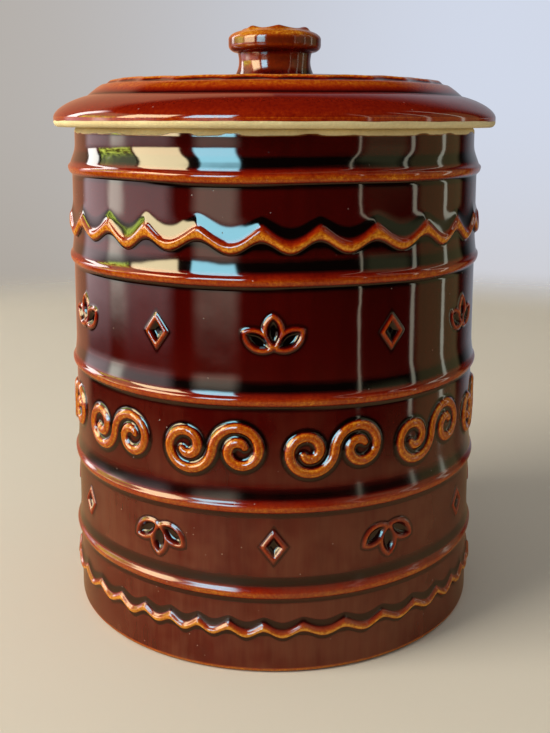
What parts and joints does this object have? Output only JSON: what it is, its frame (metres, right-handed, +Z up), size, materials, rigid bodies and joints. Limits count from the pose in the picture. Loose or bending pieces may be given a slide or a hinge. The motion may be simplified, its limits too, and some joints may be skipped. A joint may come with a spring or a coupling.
{
  "type": "biscuit jar",
  "caption": "Round glazed stoneware biscuit jar with moulded hoops, scalloped cords and scrolls, and a lift-off lid with a waisted knob.",
  "frame": {"origin": "middle of the foot ring, on the surface that the jar stands on", "axes": "+Z up along the jar's axis; -Y is the front that the picture shows, +X to its right"},
  "size_m": [0.1714, 0.1714, 0.2295],
  "materials": {
    "red_brown_glaze": "gloss",
    "lid_glaze": "gloss",
    "amber_glaze": "gloss"
  },
  "bodies": {
    "jar": {"jar": "red_brown_glaze"},
    "lid": {"lid": "lid_glaze", "knob": "amber_glaze"}
  },
  "joints": [
    {"name": "lid_lift", "type": "slide", "parent": "jar", "child": "lid", "axis": [0, 0, 1], "range_m": [0, 0.12]}
  ]
}
